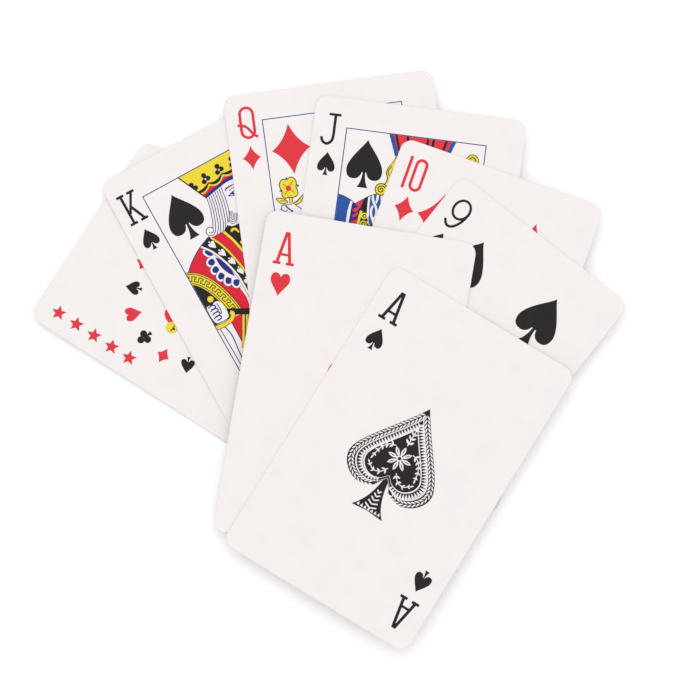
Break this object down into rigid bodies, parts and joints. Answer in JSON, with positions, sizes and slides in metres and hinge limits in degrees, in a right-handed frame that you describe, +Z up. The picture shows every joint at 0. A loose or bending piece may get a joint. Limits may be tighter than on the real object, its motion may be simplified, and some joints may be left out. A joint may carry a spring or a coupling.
{
  "type": "playing card fan",
  "caption": "Fan of bridge-size playing cards lying on a table: laminated plies with printed court figures, pips and indices, each card swivelling about the fan's pivot",
  "frame": {"origin": "The point that the fan turns about, on the underside of the lowest card, where the fan rests on the table", "axes": "+Z up out of the cards' faces, +Y towards the fan's spread ends, +X to the right as the faces are read"},
  "size_m": [0.1582, 0.1565, 0.0029],
  "materials": {
    "card_face": "satin coated white stock with a fine linen emboss",
    "card_core": "matt dark adhesive core",
    "card_back": "satin coated stock with a plain lattice print",
    "ink_yellow": "satin offset ink",
    "ink_red": "satin offset ink",
    "ink_blue": "satin offset ink",
    "ink_black": "satin offset ink"
  },
  "bodies": {
    "joker_card": {"joker_back": "card_back", "joker_core": "card_core", "joker_face": "card_face", "joker_yellow_print": "ink_yellow", "joker_red_print": "ink_red", "joker_black_print": "ink_black"},
    "king_of_spades_card": {"king_of_spades_back": "card_back", "king_of_spades_core": "card_core", "king_of_spades_face": "card_face", "king_of_spades_yellow_print": "ink_yellow", "king_of_spades_red_print": "ink_red", "king_of_spades_blue_print": "ink_blue", "king_of_spades_black_print": "ink_black"},
    "queen_of_diamonds_card": {"queen_of_diamonds_back": "card_back", "queen_of_diamonds_core": "card_core", "queen_of_diamonds_face": "card_face", "queen_of_diamonds_yellow_print": "ink_yellow", "queen_of_diamonds_red_print": "ink_red", "queen_of_diamonds_blue_print": "ink_blue", "queen_of_diamonds_black_print": "ink_black"},
    "jack_of_spades_card": {"jack_of_spades_back": "card_back", "jack_of_spades_core": "card_core", "jack_of_spades_face": "card_face", "jack_of_spades_yellow_print": "ink_yellow", "jack_of_spades_red_print": "ink_red", "jack_of_spades_blue_print": "ink_blue", "jack_of_spades_black_print": "ink_black"},
    "ten_of_diamonds_card": {"ten_of_diamonds_back": "card_back", "ten_of_diamonds_core": "card_core", "ten_of_diamonds_face": "card_face", "ten_of_diamonds_red_print": "ink_red"},
    "nine_of_spades_card": {"nine_of_spades_back": "card_back", "nine_of_spades_core": "card_core", "nine_of_spades_face": "card_face", "nine_of_spades_black_print": "ink_black"},
    "ace_of_hearts_card": {"ace_of_hearts_back": "card_back", "ace_of_hearts_core": "card_core", "ace_of_hearts_face": "card_face", "ace_of_hearts_red_print": "ink_red"},
    "ace_of_spades_card": {"ace_of_spades_back": "card_back", "ace_of_spades_core": "card_core", "ace_of_spades_face": "card_face", "ace_of_spades_black_print": "ink_black"}
  },
  "joints": [
    {"name": "king_of_spades_swivel", "type": "hinge", "parent": "joker_card", "child": "king_of_spades_card", "pos_m": [0, 0, 0], "axis": [0, 0, 1], "range_deg": [-66.8, 28.9]},
    {"name": "queen_of_diamonds_swivel", "type": "hinge", "parent": "joker_card", "child": "queen_of_diamonds_card", "pos_m": [0, 0, 0], "axis": [0, 0, 1], "range_deg": [-46.1, 49.6]},
    {"name": "jack_of_spades_swivel", "type": "hinge", "parent": "joker_card", "child": "jack_of_spades_card", "pos_m": [0, 0, 0], "axis": [0, 0, 1], "range_deg": [-30.9, 64.8]},
    {"name": "ten_of_diamonds_swivel", "type": "hinge", "parent": "joker_card", "child": "ten_of_diamonds_card", "pos_m": [0, 0, 0], "axis": [0, 0, 1], "range_deg": [-18.8, 76.9]},
    {"name": "nine_of_spades_swivel", "type": "hinge", "parent": "joker_card", "child": "nine_of_spades_card", "pos_m": [0, 0, 0], "axis": [0, 0, 1], "range_deg": [0, 95.7]},
    {"name": "ace_of_hearts_swivel", "type": "hinge", "parent": "joker_card", "child": "ace_of_hearts_card", "pos_m": [0, 0, 0], "axis": [0, 0, 1], "range_deg": [-28.8, 66.9]},
    {"name": "ace_of_spades_swivel", "type": "hinge", "parent": "joker_card", "child": "ace_of_spades_card", "pos_m": [0, 0, 0], "axis": [0, 0, 1], "range_deg": [-6.9, 88.8]}
  ]
}
